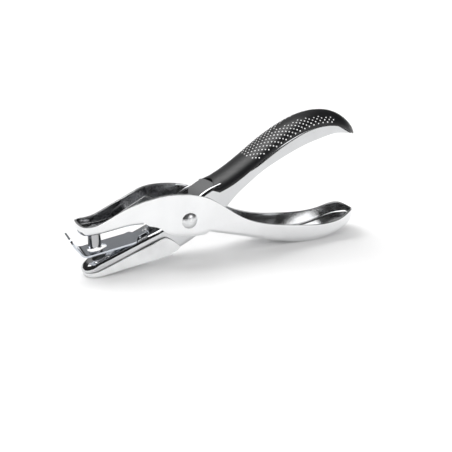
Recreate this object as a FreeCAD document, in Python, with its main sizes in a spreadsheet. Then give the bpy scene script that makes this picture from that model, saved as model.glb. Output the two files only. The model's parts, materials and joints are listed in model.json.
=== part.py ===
"""Single-hole plier punch: two pressed steel levers on one rivet, with pin, die, stripper and chip tray.

Every outline is drawn about the pivot: X runs towards the handles, Z is up and Y is along the rivet.
A Placement then moves each piece so that the origin lies under the middle of the punch, on the surface
that it stands on. Millimetres throughout.
"""
import FreeCAD, Part
import math
import os

os.makedirs("parts", exist_ok=True)
doc = FreeCAD.newDocument("plier_punch")
V = FreeCAD.Vector

# ---------------------------------------------------------------- driving dimensions
DIMENSIONS = {
    "sheet_gauge": 1.0,        # thickness of both pressed levers
    "outer_half": 8.8,         # half-width of the outer lever at the rivet
    "outer_handle_half": 10.0,
    "inner_half": 7.4,         # half-width of the inner lever at the rivet
    "inner_handle_half": 8.2,
    "nose_left": -49.2,        # front of the upper jaw
    "handle_right": 90.5,      # end of the lower handle
    "lip_left": -53.4,         # tip of the stripper's raised lip
    "floor_below": 21.0,       # the rivet's height above the surface
    "rivet_radius": 2.5,
    "rivet_head_radius": 3.7,
    "rivet_head_height": 1.3,
    "running_clearance": 0.06,
    "sleeve_radius": 3.2,
    "pin_radius": 3.0,
    "pin_x": -41.5,
    "pin_tip_z": -8.5,
    "jaw_slope": 20.3,         # lower jaw's slope at rest, in degrees
    "jaw_offset": 1.43,        # height of the lower jaw's top above the rivet, square to the jaw
    "die_station": -42.05,     # the die's place along the lower jaw, from the rivet's foot
    "die_hole_radius": 3.35,
    "die_ring_radius": 4.4,
    "die_ring_height": 1.5,
    "plate_gauge": 0.8,        # stripper and chip tray
    "plate_half": 6.0,
    "tang_half": 2.6,
    "tray_hinge_x": -9.6,
    "tray_hinge_z": -9.6,
    "tray_boss_radius": 1.2,
    "wire_radius": 0.45,
    "coil_radius": 4.1,
    "coil_pitch": 1.0,
    "blank_width": 24.0,       # wider than any piece; the plan outlines trim it
}
sheet = doc.addObject("Spreadsheet::Sheet", "Sizes")
for row, (alias, value) in enumerate(DIMENSIONS.items(), start=1):
    sheet.set("A%d" % row, alias)
    sheet.set("B%d" % row, str(value))
    sheet.setAlias("B%d" % row, alias)
doc.recompute()


def size(name):
    """A dimension as the sheet holds it."""
    return float(sheet.get(name))


GAUGE = size("sheet_gauge")
SLOPE = math.radians(size("jaw_slope"))
PIVOT_X = "-(Sizes.lip_left + Sizes.handle_right) / 2"
PIVOT_Z = "Sizes.floor_below"
FAR = 60.0                     # reaches past the whole punch
CUT_LENGTH = 240.0             # cuts right through

named = {}                     # file name -> document object


# ---------------------------------------------------------------- drawing helpers
def origin_plane(body, role):
    return next(f for f in body.Origin.OriginFeatures if f.Role == role)


def new_body(name):
    return doc.addObject("PartDesign::Body", name)


def new_sketch(body, name, role, lift=0.0):
    """An empty sketch on one of the body's own origin planes, lifted along its normal."""
    drawing = body.newObject("Sketcher::SketchObject", name)
    drawing.AttachmentSupport = (origin_plane(body, role), [""])
    drawing.MapMode = "FlatFace"
    drawing.AttachmentOffset = FreeCAD.Placement(V(0, 0, lift), FreeCAD.Rotation())
    return drawing


def curve_through(points):
    """A smooth curve through the points, or a straight line when there are two."""
    vectors = [V(x, y, 0) for x, y in points]
    if len(vectors) == 2:
        return Part.LineSegment(vectors[0], vectors[1])
    curve = Part.BSplineCurve()
    curve.interpolate(vectors)
    return curve


def draw(drawing, *runs):
    """Adds runs of points end to end; the last one closes back to the first."""
    closing = [runs[-1][-1], runs[0][0]]
    everything = list(runs)
    if math.dist(*closing) > 1e-6:
        everything.append(closing)
    for run in everything:
        drawing.addGeometry(curve_through(run), False)


def pad(body, drawing, length):
    """A pad to both sides of the sketch; length is an expression."""
    feature = body.newObject("PartDesign::Pad", drawing.Name + "Pad")
    feature.Profile = drawing
    feature.Midplane = True
    feature.setExpression("Length", length)
    return feature


def pocket(body, drawing):
    """A pocket right through, to both sides of the sketch."""
    feature = body.newObject("PartDesign::Pocket", drawing.Name + "Pocket")
    feature.Profile = drawing
    feature.Midplane = True
    feature.Length = CUT_LENGTH
    return feature


def revolve(body, drawing):
    """A full turn about the sketch's own vertical axis."""
    feature = body.newObject("PartDesign::Revolution", drawing.Name + "Turn")
    feature.Profile = drawing
    feature.ReferenceAxis = (drawing, ["V_Axis"])
    feature.Angle = 360.0
    return feature


def trim_to_plan(body, name, half_outline):
    """Cuts away everything outside a plan outline, given as runs along its +Y half."""
    drawing = new_sketch(body, name, "XY_Plane")
    mirrored = [[(x, -y) for x, y in reversed(run)] for run in reversed(half_outline)]
    for run in half_outline + mirrored:
        drawing.addGeometry(curve_through(run), False)
    corners = [(-2 * FAR, -FAR), (2 * FAR, -FAR), (2 * FAR, FAR), (-2 * FAR, FAR)]
    for start, end in zip(corners, corners[1:] + corners[:1]):
        drawing.addGeometry(curve_through([start, end]), False)
    return pocket(body, drawing)


def shifted(points, distance):
    """The points moved square to their own line, to its left for a positive distance."""
    moved = []
    for index, (x, y) in enumerate(points):
        before = points[max(index - 1, 0)]
        after = points[min(index + 1, len(points) - 1)]
        along_x, along_y = after[0] - before[0], after[1] - before[1]
        length = math.hypot(along_x, along_y)
        moved.append((x - distance * along_y / length, y + distance * along_x / length))
    return moved


def boolean(kind, name, base, tool):
    """A Part boolean; kind is Cut, Fuse or Common."""
    result = doc.addObject("Part::" + kind, name)
    result.Base = base
    result.Tool = tool
    return result


def cross_rod(name, radius, x, z, length="60"):
    """A cylinder along Y about (x, z); radius and length are expressions."""
    rod = doc.addObject("Part::Cylinder", name)
    rod.setExpression("Radius", radius)
    rod.setExpression("Height", length)
    rod.Placement = FreeCAD.Placement(V(x, 0, z), FreeCAD.Rotation(V(1, 0, 0), 90))
    rod.setExpression("Placement.Base.y", "(" + length + ") / 2")
    return rod


def upright_rod(name, radius, x, y, z, length):
    """A cylinder along Z that starts at (x, y, z); the radius is an expression."""
    rod = doc.addObject("Part::Cylinder", name)
    rod.setExpression("Radius", radius)
    rod.Height = length
    rod.Placement.Base = V(x, y, z)
    return rod


def publish(name, item):
    """Names a finished piece, whose outlines are about the pivot, and places it."""
    item.Label = name
    item.setExpression("Placement.Base.x", PIVOT_X)
    item.setExpression("Placement.Base.z", PIVOT_Z)
    named[name] = item


# ---------------------------------------------------------------- the lower jaw's slope
JAW_TURN = FreeCAD.Rotation(V(0, 1, 0), -size("jaw_slope"))


def jaw_point(station, depth=0.0):
    """A point of the lower jaw: station along its top, depth below it."""
    height = size("jaw_offset") - depth
    return (station * math.cos(SLOPE) - height * math.sin(SLOPE),
            station * math.sin(SLOPE) + height * math.cos(SLOPE))


def jaw_hole(name, radius, station):
    """A cylinder square to the lower jaw, through its top at a station."""
    x, z = jaw_point(station)
    rod = doc.addObject("Part::Cylinder", name)
    rod.setExpression("Radius", radius)
    rod.Height = 8.0
    start = FreeCAD.Placement(V(0, 0, -rod.Height.Value / 2), FreeCAD.Rotation())
    rod.Placement = FreeCAD.Placement(V(x, 0, z), JAW_TURN).multiply(start)
    return rod


def publish_on_jaw(name, item, station):
    """Names a piece drawn about a point of the lower jaw's top, and stands it square on the jaw."""
    x, z = jaw_point(station)
    publish(name, item)
    item.Placement = FreeCAD.Placement(V(0, 0, 0), JAW_TURN)
    item.setExpression("Placement.Base.x", PIVOT_X + " + %.4f" % x)
    item.setExpression("Placement.Base.z", PIVOT_Z + " + %.4f" % z)


# ---------------------------------------------------------------- outer lever: upper jaw, lower handle
NOSE = size("nose_left")
TAIL = size("handle_right")
HALF = size("outer_half")
RIM = [(NOSE, 4.3), (-47.6, 3.8), (-45.0, 3.5), (-42.0, 3.65), (-38.0, 4.8), (-33.0, 7.0), (-28.0, 9.15),
       (-23.0, 11.0), (-18.0, 12.5), (-12.0, 13.4), (-6.0, 13.2), (-1.0, 12.5), (9.0, 9.2), (17.8, 3.2),
       (29.0, -4.5), (34.5, -6.9), (41.8, -9.1), (50.0, -10.7), (58.3, -12.0), (66.0, -12.9), (72.0, -13.0),
       (78.0, -12.2), (83.5, -10.4), (87.0, -9.8), (TAIL, -11.2)]
JAW_WEB_END = -21.0
HANDLE_WEB_START = 10.2
JAW_WEB = [(-46.6, -0.95), (-41.0, -0.7), (-35.0, -0.1), (-27.0, 0.8), (JAW_WEB_END, 1.0)]
EAR = [(JAW_WEB_END, 1.0), (-15.6, -0.5), (-10.9, -4.0), (-6.2, -6.2), (-1.2, -7.4), (3.7, -7.8),
       (HANDLE_WEB_START, -7.5)]
HANDLE_WEB = [(HANDLE_WEB_START, -7.5), (24.0, -11.8), (38.8, -16.4), (52.0, -20.0), (62.0, -21.0),
              (71.0, -20.3), (79.0, -18.2), (86.0, -15.7), (TAIL, -14.0)]
NOSE_BEND = [(NOSE, 0.7), (-48.5, -0.5), (-46.6, -0.95)]
OUTER_PARALLEL = -15.0         # the walls run parallel from here to behind the rivet
CLEAR = 3.0                    # how far a cutting outline runs past the end that it opens


def reversed_run(points):
    return list(reversed(points))


def outer_plan(inset):
    """Plan of the outer lever, drawn a distance inside its outside face."""
    nose, tail, half = NOSE + inset, TAIL - inset, HALF - inset
    wide = size("outer_handle_half") - inset
    front = [(nose, 0), (nose + 0.4, 3.5 - inset / 2), (-47.2, 5.9 - inset), (-45.0, 6.6 - inset),
             (-41.0, 6.6 - inset), (-34.0, 6.5 - inset), (-27.0, 6.65 - inset), (-23.0, 7.2 - inset),
             (-19.5, 7.95 - inset), (-17.0, 8.6 - inset), (OUTER_PARALLEL, half)]
    side = [(OUTER_PARALLEL, half), (24.0, half)]
    handle = [(24.0, half), (34.0, wide - 1.3), (46.0, wide - 1.25), (54.0, wide - 0.85), (62.0, wide - 0.25),
              (68.0, wide), (75.0, wide), (79.5, wide - 0.3), (83.0, wide - 1.3), (86.0, wide - 3.0),
              (88.4, wide - 5.2), (tail - 0.4, 2.4), (tail, 0)]
    return [front, side, handle]


outer = new_body("OuterBlank")
outline = new_sketch(outer, "OuterSide", "XZ_Plane")
draw(outline, RIM, [RIM[-1], HANDLE_WEB[-1]], reversed_run(HANDLE_WEB), reversed_run(EAR),
     reversed_run(JAW_WEB), reversed_run(NOSE_BEND), [NOSE_BEND[0], RIM[0]])
pad(outer, outline, "Sizes.blank_width")
trim_to_plan(outer, "OuterPlan", outer_plan(0.0))

hollow = new_body("OuterHollow")
outline = new_sketch(hollow, "OuterHollowSide", "XZ_Plane")
jaw_floor = shifted(JAW_WEB, GAUGE)
handle_floor = shifted(HANDLE_WEB, GAUGE)[:-1]
front_corner = (NOSE - CLEAR, jaw_floor[0][1])
rear_corner = (TAIL + CLEAR, handle_floor[-1][1] + 2.0)
draw(outline, [(NOSE - CLEAR, FAR), front_corner], [front_corner, jaw_floor[0]], jaw_floor,
     [jaw_floor[-1], (JAW_WEB_END, -FAR)], [(JAW_WEB_END, -FAR), (HANDLE_WEB_START, -FAR)],
     [(HANDLE_WEB_START, -FAR), handle_floor[0]], handle_floor,
     [handle_floor[-1], rear_corner], [rear_corner, (TAIL + CLEAR, FAR)])
pad(hollow, outline, "Sizes.blank_width")
trim_to_plan(hollow, "OuterHollowPlan", outer_plan(GAUGE))

# ---------------------------------------------------------------- inner lever: lower jaw, upper handle
INNER_NOSE = -48.0
INNER_TAIL = 87.2
FLAT_START = -46.6             # stations between which the lower jaw's top is flat
FLAT_END = -15.2
JAW_NOSE = [jaw_point(-50.4, 0.4), jaw_point(-48.6, 0.1), jaw_point(FLAT_START)]
JAW_FLAT = [jaw_point(FLAT_START), jaw_point(FLAT_END)]
NECK_TOP = [JAW_FLAT[-1], (-12.6, -2.95), (-8.0, 0.3), (-1.0, 5.4), (6.4, 10.5), (10.7, 12.8), (14.0, 13.9),
            (18.0, 15.2), (26.2, 19.6), (38.5, 27.6), (51.1, 34.6), (57.4, 37.2), (63.8, 38.8), (70.4, 39.0),
            (76.5, 37.8), (81.5, 35.0), (85.2, 31.4), (INNER_TAIL, 28.6)]
UPPER_EDGE = [(INNER_TAIL, 28.6), (81.0, 30.0), (74.5, 31.1), (66.0, 29.9), (59.7, 28.3), (47.2, 23.5),
              (34.9, 17.2), (28.9, 12.8), (23.5, 8.4), (18.7, 3.4), (11.0, -2.6), (4.0, -8.0), (-4.5, -12.4)]
LOWER_EDGE = [(-4.5, -12.4), (INNER_NOSE, -18.7)]


def inner_plan(inset):
    """Plan of the inner lever, drawn a distance inside its outside face."""
    nose, tail = INNER_NOSE + inset, INNER_TAIL - inset
    half, wide = size("inner_half") - inset, size("inner_handle_half") - inset
    front = [(nose, 0), (nose + 0.7, 3.0 - inset / 2), (-45.0, 4.9 - inset), (-41.0, 5.7 - inset),
             (-30.0, 6.15 - inset), (-14.0, 6.8 - inset), (-5.0, half)]
    side = [(-5.0, half), (20.0, half)]
    handle = [(20.0, half), (30.0, wide - 0.2), (45.0, wide), (60.0, wide), (73.0, wide - 0.5),
              (81.0, wide - 2.6), (tail - 0.6, 2.2), (tail, 0)]
    return [front, side, handle]


inner = new_body("InnerBlank")
outline = new_sketch(inner, "InnerSide", "XZ_Plane")
nose_corner = (INNER_NOSE, JAW_NOSE[0][1])
draw(outline, JAW_NOSE, JAW_FLAT, NECK_TOP, UPPER_EDGE, LOWER_EDGE, [LOWER_EDGE[-1], nose_corner],
     [nose_corner, JAW_NOSE[0]])
pad(inner, outline, "Sizes.blank_width")
trim_to_plan(inner, "InnerPlan", inner_plan(0.0))

core = new_body("InnerHollow")
outline = new_sketch(core, "InnerHollowSide", "XZ_Plane")
under_flat = [jaw_point(FLAT_START, GAUGE), jaw_point(FLAT_END, GAUGE)]
under_nose = shifted(JAW_NOSE, -GAUGE)[:-1] + under_flat[:1]
under_neck = under_flat[1:] + shifted(NECK_TOP, -GAUGE)[1:-1]
front_corner = (INNER_NOSE - CLEAR, under_nose[0][1] - 1.0)
rear_corner = (INNER_TAIL + 1.0, under_neck[-1][1] - 4.0)
draw(outline, [(INNER_NOSE - CLEAR, -FAR), front_corner], [front_corner, under_nose[0]], under_nose,
     under_flat, under_neck, [under_neck[-1], rear_corner], [rear_corner, (INNER_TAIL + 1.0, -FAR)])
pad(core, outline, "Sizes.blank_width")
trim_to_plan(core, "InnerHollowPlan", inner_plan(GAUGE))


# ---------------------------------------------------------------- both levers: hollowed and drilled
PIN_X = size("pin_x")
HINGE = (size("tray_hinge_x"), size("tray_hinge_z"))
DIE_STATION = size("die_station")
TANG_RIVET_STATION = -18.3
WINDOW_LENGTH, WINDOW_WIDTH, WINDOW_HEIGHT = 13.5, 8.4, 12.0

upper_lever = boolean("Cut", "UpperShell", outer, hollow)
upper_rivet_hole = cross_rod("UpperRivetHole", "Sizes.rivet_radius", 0, 0)
upper_lever = boolean("Cut", "UpperDrilled", upper_lever, upper_rivet_hole)
tenon_hole = upright_rod("TenonHole", "Sizes.pin_radius * 2 / 3", PIN_X, 0, -3.0, 6.0)
upper_lever = boolean("Cut", "UpperTenoned", upper_lever, tenon_hole)

lower_lever = boolean("Cut", "LowerShell", inner, core)
lower_rivet_hole = cross_rod("LowerRivetHole", "Sizes.rivet_radius + Sizes.running_clearance", 0, 0)
lower_lever = boolean("Cut", "LowerDrilled", lower_lever, lower_rivet_hole)
boss_hole = cross_rod("BossHole", "Sizes.tray_boss_radius + Sizes.running_clearance", *HINGE)
lower_lever = boolean("Cut", "LowerBossed", lower_lever, boss_hole)
die_hole = jaw_hole("DieHole", "Sizes.die_hole_radius", DIE_STATION)
lower_lever = boolean("Cut", "LowerDie", lower_lever, die_hole)

window = doc.addObject("Part::Box", "SpringWindow")
window.Length = WINDOW_LENGTH
window.Width = WINDOW_WIDTH
window.Height = WINDOW_HEIGHT
window.Placement.Base = V(-11.0, -WINDOW_WIDTH / 2, -1.5)
lower_lever = boolean("Cut", "LowerWindowed", lower_lever, window)

# ---------------------------------------------------------------- black cover on the upper handle
GRIP_SECTIONS = [
    # x, crown height, half-width, rise of the half-ellipse
    (14.2, 15.0, 8.45, 4.3),
    (20.1, 17.9, 8.75, 4.8),
    (26.2, 21.4, 8.75, 4.9),
    (32.3, 25.4, 8.75, 4.8),
    (38.5, 29.6, 8.75, 4.7),
    (44.8, 33.5, 8.75, 4.9),
    (51.1, 36.8, 8.75, 5.2),
    (57.4, 39.3, 8.75, 5.4),
    (63.8, 40.8, 8.75, 5.6),
    (70.4, 41.0, 8.75, 5.7),
    (76.5, 39.8, 8.2, 5.7),
    (81.5, 37.1, 7.1, 5.5),
    (85.2, 33.8, 5.3, 4.4),
    (87.3, 31.0, 3.3, 2.6),
    (88.5, 28.9, 1.2, 1.0),
]


def grip_section(body, number, x, crown, half, rise):
    """A half-ellipse standing across the handle, closed by its chord."""
    drawing = new_sketch(body, "GripSection%d" % number, "YZ_Plane", x)
    ellipse = Part.Ellipse(V(0, crown - rise, 0), half, rise)
    drawing.addGeometry(Part.ArcOfEllipse(ellipse, 0.0, math.pi), False)
    drawing.addGeometry(Part.LineSegment(V(-half, crown - rise, 0), V(half, crown - rise, 0)), False)
    return drawing


cover = new_body("CoverBlank")
sections = [grip_section(cover, number, *section) for number, section in enumerate(GRIP_SECTIONS)]
loft = cover.newObject("PartDesign::AdditiveLoft", "CoverLoft")
loft.Profile = sections[0]
loft.Sections = sections[1:]
publish("handle_grip", boolean("Cut", "HandleGrip", cover, inner))

# ---------------------------------------------------------------- rivet and sleeve
RIVET = size("rivet_radius")
HEAD = size("rivet_head_radius")
DOME = size("rivet_head_height")


def dome_end(face, direction):
    """Half of a domed head's outline, from its rim to its top."""
    middle = (HEAD * 0.72, face + direction * DOME * 0.62)
    return [(HEAD, face), middle, (0, face + direction * DOME)]


rivet = new_body("Rivet")
outline = new_sketch(rivet, "RivetSide", "XY_Plane")
draw(outline, [(0, -HALF - DOME), (0, HALF + DOME)], reversed_run(dome_end(HALF, 1)),
     [(HEAD, HALF), (RIVET, HALF)], [(RIVET, HALF), (RIVET, -HALF)], [(RIVET, -HALF), (HEAD, -HALF)],
     dome_end(-HALF, -1))
revolve(rivet, outline)
publish("pivot_rivet", rivet)

SLEEVE_LENGTH = "2 * (Sizes.inner_half - Sizes.sheet_gauge) - 0.1"
sleeve_body = cross_rod("SleeveBody", "Sizes.sleeve_radius", 0, 0, SLEEVE_LENGTH)
sleeve_bore = cross_rod("SleeveBore", "Sizes.rivet_radius + Sizes.running_clearance / 2", 0, 0)
publish("pivot_sleeve", boolean("Cut", "Sleeve", sleeve_body, sleeve_bore))

# ---------------------------------------------------------------- punch pin with its tenon and peened head
WEB_BOTTOM = -0.95             # the upper jaw's floor at the pin
WEB_TOP = 0.6
LAND = 1.2                     # length of the pin's cutting end, before it tapers
radius, tip = size("pin_radius"), size("pin_tip_z")
cutting, waist, tenon = radius - 0.05, radius * 0.9, radius * 2 / 3 - 0.03
pin = new_body("Pin")
outline = new_sketch(pin, "PinSide", "XZ_Plane")
draw(outline, [(0, tip), (cutting, tip)], [(cutting, tip), (cutting, tip + LAND)],
     [(cutting, tip + LAND), (waist, WEB_BOTTOM)], [(waist, WEB_BOTTOM), (tenon, WEB_BOTTOM)],
     [(tenon, WEB_BOTTOM), (tenon, WEB_TOP)], [(tenon, WEB_TOP), (radius, WEB_TOP)],
     [(radius, WEB_TOP), (radius * 0.7, WEB_TOP + 0.75), (0, WEB_TOP + 1.0)])
revolve(pin, outline)
outline = new_sketch(pin, "PinNotch", "XZ_Plane")
NOTCH_HALF, NOTCH_TOP, NOTCH_FOOT = 4.0, tip + 1.0, tip - 0.6
draw(outline, [(-NOTCH_HALF, NOTCH_FOOT), (NOTCH_HALF, NOTCH_FOOT)],
     [(NOTCH_HALF, NOTCH_FOOT), (0, NOTCH_TOP)], [(0, NOTCH_TOP), (-NOTCH_HALF, NOTCH_FOOT)])
pocket(pin, outline)
publish("punch_pin", pin)
pin.setExpression("Placement.Base.x", PIVOT_X + " + Sizes.pin_x")

# ---------------------------------------------------------------- die ring, square to the lower jaw
ring = new_body("DieRing")
outline = new_sketch(ring, "RingSide", "XZ_Plane")
top = -GAUGE
bottom = top - size("die_ring_height")
bore, outside = size("die_hole_radius"), size("die_ring_radius")
relief = bore + 0.4            # the bore opens downwards so that chips fall free
draw(outline, [(bore, top), (outside, top)], [(outside, top), (outside, bottom)],
     [(outside, bottom), (relief, bottom)], [(relief, bottom), (bore, top)])
revolve(ring, outline)
publish_on_jaw("die_ring", ring, DIE_STATION)

# ---------------------------------------------------------------- stripper: plate, tang and rivet
PLATE = size("plate_gauge")
PLATE_HALF = size("plate_half")
TANG_HALF = size("tang_half")
LIP = size("lip_left")
PLATE_TOP = [(-26.0, -7.2), (-46.2, -9.73)]
LIP_INSIDE = [PLATE_TOP[-1], (-47.8, -9.2), (-49.0, -7.7), (-51.3, -4.3), (LIP + 0.7, -1.3)]
LIP_OUTSIDE = shifted(LIP_INSIDE, PLATE)
plate = new_body("Stripper")
outline = new_sketch(plate, "StripperSide", "XZ_Plane")
draw(outline, PLATE_TOP, LIP_INSIDE, [LIP_INSIDE[-1], LIP_OUTSIDE[-1]], reversed_run(LIP_OUTSIDE),
     [LIP_OUTSIDE[0], (PLATE_TOP[0][0], PLATE_TOP[0][1] - PLATE)])
pad(plate, outline, "2 * Sizes.plate_half")
outline = new_sketch(plate, "PinSlot", "XY_Plane")
SLOT_X, SLOT_HALF, SLOT_RADIUS = -40.6, 1.0, 3.35
slot_left, slot_right = SLOT_X - SLOT_HALF, SLOT_X + SLOT_HALF
outline.addGeometry(Part.LineSegment(V(slot_left, SLOT_RADIUS, 0), V(slot_right, SLOT_RADIUS, 0)), False)
outline.addGeometry(Part.LineSegment(V(slot_left, -SLOT_RADIUS, 0), V(slot_right, -SLOT_RADIUS, 0)), False)
for centre, start in ((slot_right, -math.pi / 2), (slot_left, math.pi / 2)):
    circle = Part.Circle(V(centre, 0, 0), V(0, 0, 1), SLOT_RADIUS)
    outline.addGeometry(Part.ArcOfCircle(circle, start, start + math.pi), False)
pocket(plate, outline)
publish("stripper_plate", plate)

TANG_START, TANG_END = -26.6, -16.0      # stations
SHOULDER = -23.4                         # where the tang narrows
tang = new_body("Tang")
outline = new_sketch(tang, "TangSide", "XZ_Plane")
tang_foot = [jaw_point(TANG_START), jaw_point(TANG_END)]
tang_top = [jaw_point(TANG_END, -PLATE), jaw_point(TANG_START, -PLATE)]
draw(outline, tang_foot, [tang_foot[1], tang_top[0]], tang_top)
pad(tang, outline, "2 * Sizes.plate_half")
outline = new_sketch(tang, "TangPlan", "XY_Plane")
for side in (-1, 1):
    shoulder = (SHOULDER, side * (PLATE_HALF - 1.2))
    waist = (SHOULDER + 1.2, side * TANG_HALF)
    draw(outline, [(SHOULDER, side * 9), shoulder], [shoulder, waist], [waist, (-10, side * TANG_HALF)],
         [(-10, side * TANG_HALF), (-10, side * 9)])
pocket(tang, outline)

STEM, BUTTON, BUTTON_HEIGHT = 1.0, 1.7, 0.6
tang_rivet = new_body("TangRivet")
outline = new_sketch(tang_rivet, "TangRivetSide", "XZ_Plane")
upper_button = [(0, PLATE + BUTTON_HEIGHT), (BUTTON * 0.7, PLATE + BUTTON_HEIGHT * 0.75), (BUTTON, PLATE)]
lower_button = [(BUTTON, -GAUGE), (BUTTON * 0.7, -GAUGE - BUTTON_HEIGHT * 0.75), (0, -GAUGE - BUTTON_HEIGHT)]
draw(outline, upper_button, [(BUTTON, PLATE), (STEM, PLATE)], [(STEM, PLATE), (STEM, -GAUGE)],
     [(STEM, -GAUGE), (BUTTON, -GAUGE)], lower_button)
revolve(tang_rivet, outline)
publish_on_jaw("stripper_rivet", tang_rivet, TANG_RIVET_STATION)

sheet.set("A%d" % (len(DIMENSIONS) + 1), "stem_radius")
sheet.set("B%d" % (len(DIMENSIONS) + 1), str(STEM))
sheet.setAlias("B%d" % (len(DIMENSIONS) + 1), "stem_radius")
publish("stripper_tang", boolean("Cut", "StripperTang", tang,
                                 jaw_hole("TangHole", "Sizes.stem_radius", TANG_RIVET_STATION)))
lower_lever = boolean("Cut", "LowerRiveted", lower_lever,
                      jaw_hole("StemHole", "Sizes.stem_radius", TANG_RIVET_STATION))

# ---------------------------------------------------------------- chip tray
TRAY_NOSE = -47.8
TRAY_PARALLEL = -17.0          # the side walls run parallel from here to the rear
TRAY_HALF = 8.3
TRAY_TOP = [(TRAY_NOSE, -18.85), (-42.6, -18.2), (-12.9, -7.0)]
TRAY_EAR = [(-12.9, -7.0), (-11.3, -6.75), (-9.8, -7.3), (-4.9, -11.6)]
TRAY_REAR = [(-4.9, -11.6), (-4.8, -12.6), (-6.2, -14.4), (-8.0, -15.6)]
TRAY_BOTTOM = [(-8.0, -15.6), (-42.5, -21.0)]
TRAY_TOE = [(-42.5, -21.0), (-46.6, -20.6), (TRAY_NOSE, -19.9)]


def tray_plan(inset):
    """Plan of the tray: a little more than its gauge outside the inner lever, parallel about its hinge."""
    nose, half = TRAY_NOSE + inset, TRAY_HALF - inset
    front = [(nose, 0), (nose + 0.7, 3.1 - inset / 2), (-45.4, 5.2 - inset), (-41.6, 6.5 - inset),
             (-30.0, 7.15 - inset), (TRAY_PARALLEL, half)]
    return [front, [(TRAY_PARALLEL, half), (0, half)], [(0, half), (0, 0)]]


tray_blank = new_body("TrayBlank")
outline = new_sketch(tray_blank, "TraySide", "XZ_Plane")
draw(outline, TRAY_TOP[:2], TRAY_TOP[1:], TRAY_EAR, TRAY_REAR, TRAY_BOTTOM, TRAY_TOE[:2], TRAY_TOE[1:],
     [TRAY_TOE[-1], TRAY_TOP[0]])
pad(tray_blank, outline, "Sizes.blank_width")
trim_to_plan(tray_blank, "TrayPlan", tray_plan(0.0))

tray_hollow = new_body("TrayHollow")
outline = new_sketch(tray_hollow, "TrayHollowSide", "XZ_Plane")
tray_floor = reversed_run(shifted(TRAY_BOTTOM, -PLATE))
front_corner = (TRAY_NOSE - CLEAR, tray_floor[0][1] + 0.3)
rear_foot = (TRAY_BOTTOM[0][0], -FAR)
draw(outline, [(TRAY_NOSE - CLEAR, 0), front_corner], [front_corner, tray_floor[0]], tray_floor,
     [tray_floor[1], rear_foot], [rear_foot, (CLEAR, -FAR)], [(CLEAR, -FAR), (CLEAR, 0)])
pad(tray_hollow, outline, "Sizes.blank_width")
trim_to_plan(tray_hollow, "TrayHollowPlan", tray_plan(PLATE))
tray = boolean("Cut", "TrayShell", tray_blank, tray_hollow)

BULKHEAD_HALF = 5.3
bulkhead = doc.addObject("Part::Box", "TrayBulkhead")
bulkhead.setExpression("Length", "Sizes.plate_gauge")
bulkhead.Width = 2 * BULKHEAD_HALF
bulkhead.Height = 7.6
bulkhead.Placement.Base = V(-14.5, -BULKHEAD_HALF, -16.2)
tray = boolean("Fuse", "TrayBacked", tray, bulkhead)
BOSS_INSIDE, BOSS_LENGTH = 5.5, 2.2      # each boss starts in the tray's wall and ends inside the lever's
for side, name in ((1, "BossLeft"), (-1, "BossRight")):
    boss = cross_rod(name, "Sizes.tray_boss_radius", *HINGE, str(BOSS_LENGTH))
    boss.setExpression("Placement.Base.y", None)
    boss.Placement.Base.y = side * (BOSS_INSIDE + BOSS_LENGTH / 2) + BOSS_LENGTH / 2
    tray = boolean("Fuse", name + "Fused", tray, boss)
publish("chip_tray", tray)

# ---------------------------------------------------------------- return spring
WIRE = size("wire_radius")
COIL = size("coil_radius")
LEG_RISE = math.radians(20.0)       # the upper leg's climb as it leaves the coil
TURNS = 3 + (math.pi - LEG_RISE - SLOPE) / (2 * math.pi)
COIL_HALF = TURNS * size("coil_pitch") / 2
BEND = 1.0


def bent_edges(points):
    """Straight runs joined by small arcs, tangent to both runs."""
    edges = []
    start = points[0]
    for before, corner, after in zip(points, points[1:], points[2:]):
        inward = (corner - before).normalize()
        onward = (after - corner).normalize()
        turn = inward.getAngle(onward)
        reach = BEND * math.tan(turn / 2)
        entry, leave = corner - inward * reach, corner + onward * reach
        bisector = (onward - inward).normalize()
        middle = corner + bisector * (BEND / math.cos(turn / 2) - BEND)
        edges += [Part.LineSegment(start, entry).toShape(), Part.Arc(entry, middle, leave).toShape()]
        start = leave
    return edges + [Part.LineSegment(start, points[-1]).toShape()]


coil = Part.makeHelix(size("coil_pitch"), 2 * COIL_HALF, COIL, 0, True)
coil.rotate(V(0, 0, 0), V(1, 0, 0), 90)
coil.rotate(V(0, 0, 0), V(0, 1, 0), -(90 - math.degrees(LEG_RISE)))
coil.translate(V(0, COIL_HALF, 0))
turns = coil.Edges[0]
coil_start, coil_end = turns.valueAt(turns.FirstParameter), turns.valueAt(turns.LastParameter)
start_along, end_along = turns.tangentAt(turns.FirstParameter), turns.tangentAt(turns.LastParameter)

UPPER_HOOK_X = -30.2
LOWER_HOOK_X = -12.7
upper_knee = coil_start - start_along * 19.0
upper_leg = [V(UPPER_HOOK_X, upper_knee.y, -0.6), V(UPPER_HOOK_X, upper_knee.y, 3.4), upper_knee, coil_start]
lower_knee = coil_end + end_along * ((coil_end.x - LOWER_HOOK_X) / abs(end_along.x))
lower_leg = [coil_end, lower_knee, V(LOWER_HOOK_X, lower_knee.y, -2.3)]
spring_path = Part.Wire(bent_edges(upper_leg) + [turns] + bent_edges(lower_leg))
first = spring_path.Edges[0]
wire_start, wire_along = first.valueAt(first.FirstParameter), first.tangentAt(first.FirstParameter)
section = Part.Wire(Part.makeCircle(WIRE, wire_start, wire_along))
spring = doc.addObject("Part::Feature", "Spring")
spring.Shape = spring_path.makePipeShell([section], True, False)
publish("return_spring", spring)

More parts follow.
